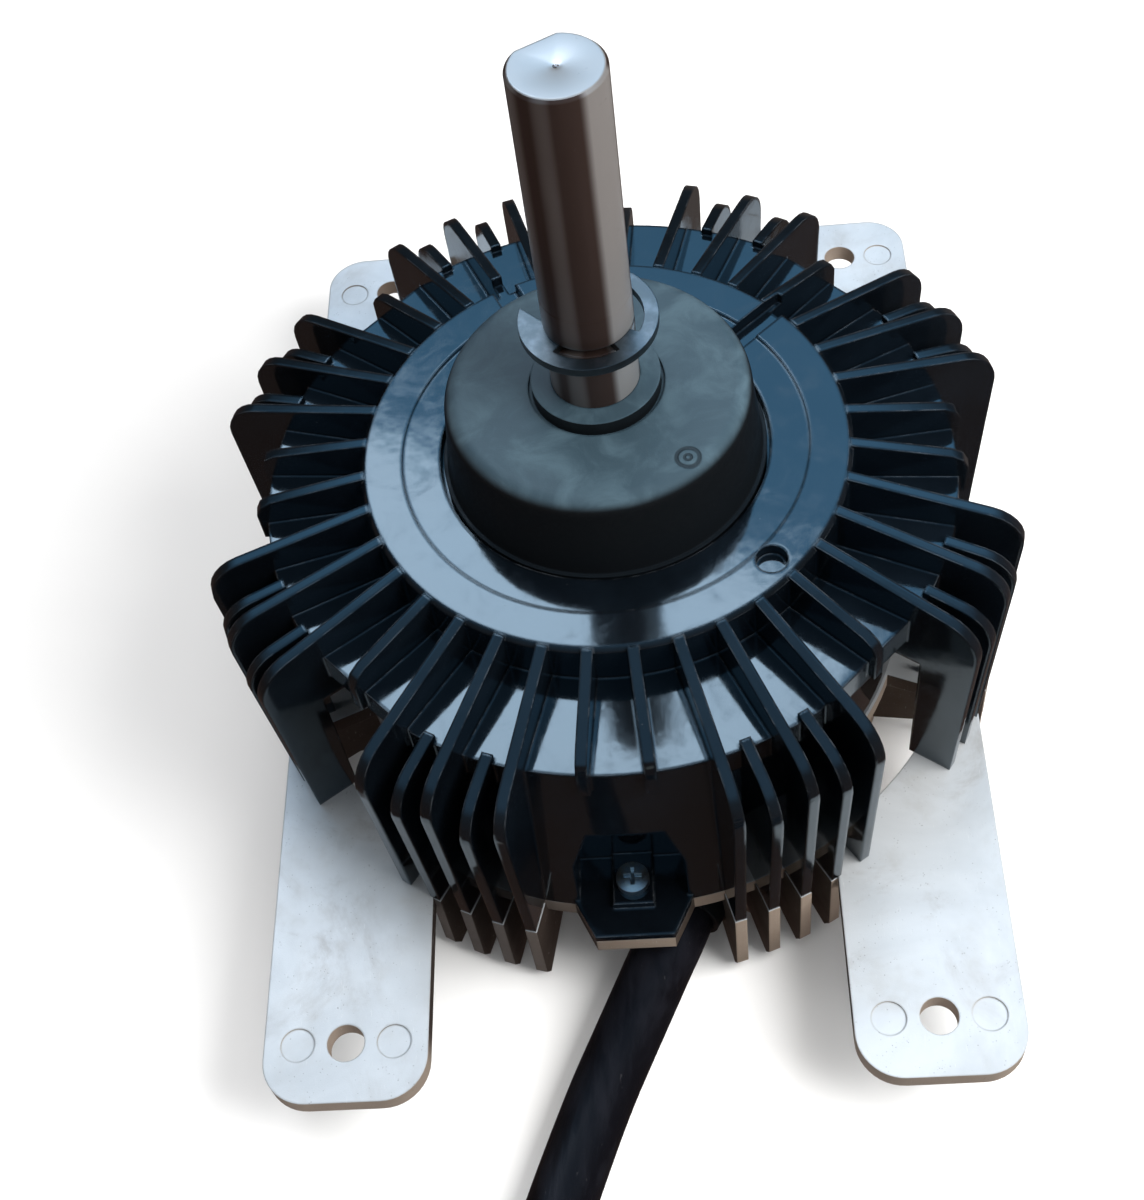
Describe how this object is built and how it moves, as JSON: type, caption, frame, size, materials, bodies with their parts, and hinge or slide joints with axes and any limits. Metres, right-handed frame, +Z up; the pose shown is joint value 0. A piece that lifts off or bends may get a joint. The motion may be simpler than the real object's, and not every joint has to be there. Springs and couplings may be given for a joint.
{
  "type": "brushless fan motor",
  "caption": "Brushless fan motor: finned resin housing, rubber slinger over the bearing, long shaft with a drive flat, four-leg cast bracket and a lead.",
  "frame": {"origin": "centre of the underside of the cast bowl, on the shaft axis", "axes": "+Z up along the shaft, -Y towards the side that the cable leaves from, legs along Y"},
  "size_m": [0.1772, 0.3692, 0.1547],
  "materials": {
    "bracket": "die-cast, satin",
    "housing": "glossy moulded resin",
    "black_rubber": "matte",
    "plated_screw": "zinc plated",
    "shaft": "ground",
    "retaining_ring": "bright spring steel",
    "slinger": "matte moulded rubber",
    "bearing_steel": "polished",
    "cage": "pressed",
    "bearing_shield": "pressed steel",
    "spring_steel": "hardened",
    "laminations": "stacked sheet",
    "magnet": "sintered",
    "sleeve": "thin wall",
    "end_plate": "turned",
    "insulator": "moulded",
    "copper": "enamelled copper winding",
    "terminal": "tinned",
    "board": "solder mask",
    "chip": "moulded",
    "thermal_pad": "soft",
    "capacitor": "sleeved",
    "connector": "nylon",
    "wire": "insulated",
    "cable": "vinyl sleeve",
    "tie": "nylon",
    "shrink": "heat-shrunk"
  },
  "bodies": {
    "frame": {"mounting_bracket": "bracket", "motor_housing": "housing", "housing_gasket": "black_rubber", "housing_screws": "plated_screw", "upper_bearing_outer_race": "bearing_steel", "upper_bearing_shields": "bearing_shield", "lower_bearing_outer_race": "bearing_steel", "lower_bearing_shields": "bearing_shield", "bearing_preload_spring": "spring_steel", "stator_core": "laminations", "upper_slot_insulator": "insulator", "lower_slot_insulator": "insulator", "stator_coils": "copper", "coil_terminal_pins": "terminal", "circuit_board": "board", "circuit_board_screws": "plated_screw", "power_module": "chip", "thermal_pad": "thermal_pad", "smoothing_capacitors": "capacitor", "hall_sensors": "chip", "control_chip": "chip", "board_connector": "connector", "internal_wires": "wire", "cable_grommet": "black_rubber", "lead_cable": "cable", "cable_coil": "cable", "coil_tie": "tie", "cable_tail": "cable", "heat_shrink_sleeve": "shrink", "connector_wires": "wire", "connector_housing": "connector", "connector_terminals": "terminal"},
    "rotor": {"output_shaft": "shaft", "shaft_retaining_ring": "retaining_ring", "rubber_slinger": "slinger", "upper_bearing_inner_race": "bearing_steel", "lower_bearing_inner_race": "bearing_steel", "rotor_core": "laminations", "rotor_magnets": "magnet", "rotor_sleeve": "sleeve", "rotor_end_plates": "end_plate"},
    "upper_ball_set": {"upper_bearing_balls": "bearing_steel", "upper_bearing_cage": "cage"},
    "lower_ball_set": {"lower_bearing_balls": "bearing_steel", "lower_bearing_cage": "cage"}
  },
  "joints": [
    {"name": "rotor_spin", "type": "hinge", "parent": "frame", "child": "rotor", "pos_m": [0, 0, 0.04], "axis": [0, 0, 1], "continuous": true},
    {"name": "upper_cage_spin", "type": "hinge", "parent": "frame", "child": "upper_ball_set", "pos_m": [0, 0, 0.0735], "axis": [0, 0, 1], "continuous": true},
    {"name": "lower_cage_spin", "type": "hinge", "parent": "frame", "child": "lower_ball_set", "pos_m": [0, 0, 0.0107], "axis": [0, 0, 1], "continuous": true}
  ],
  "couplings": [
    {"joint": "upper_cage_spin", "follows": "rotor_spin", "ratio": 0.382},
    {"joint": "lower_cage_spin", "follows": "rotor_spin", "ratio": 0.382}
  ]
}
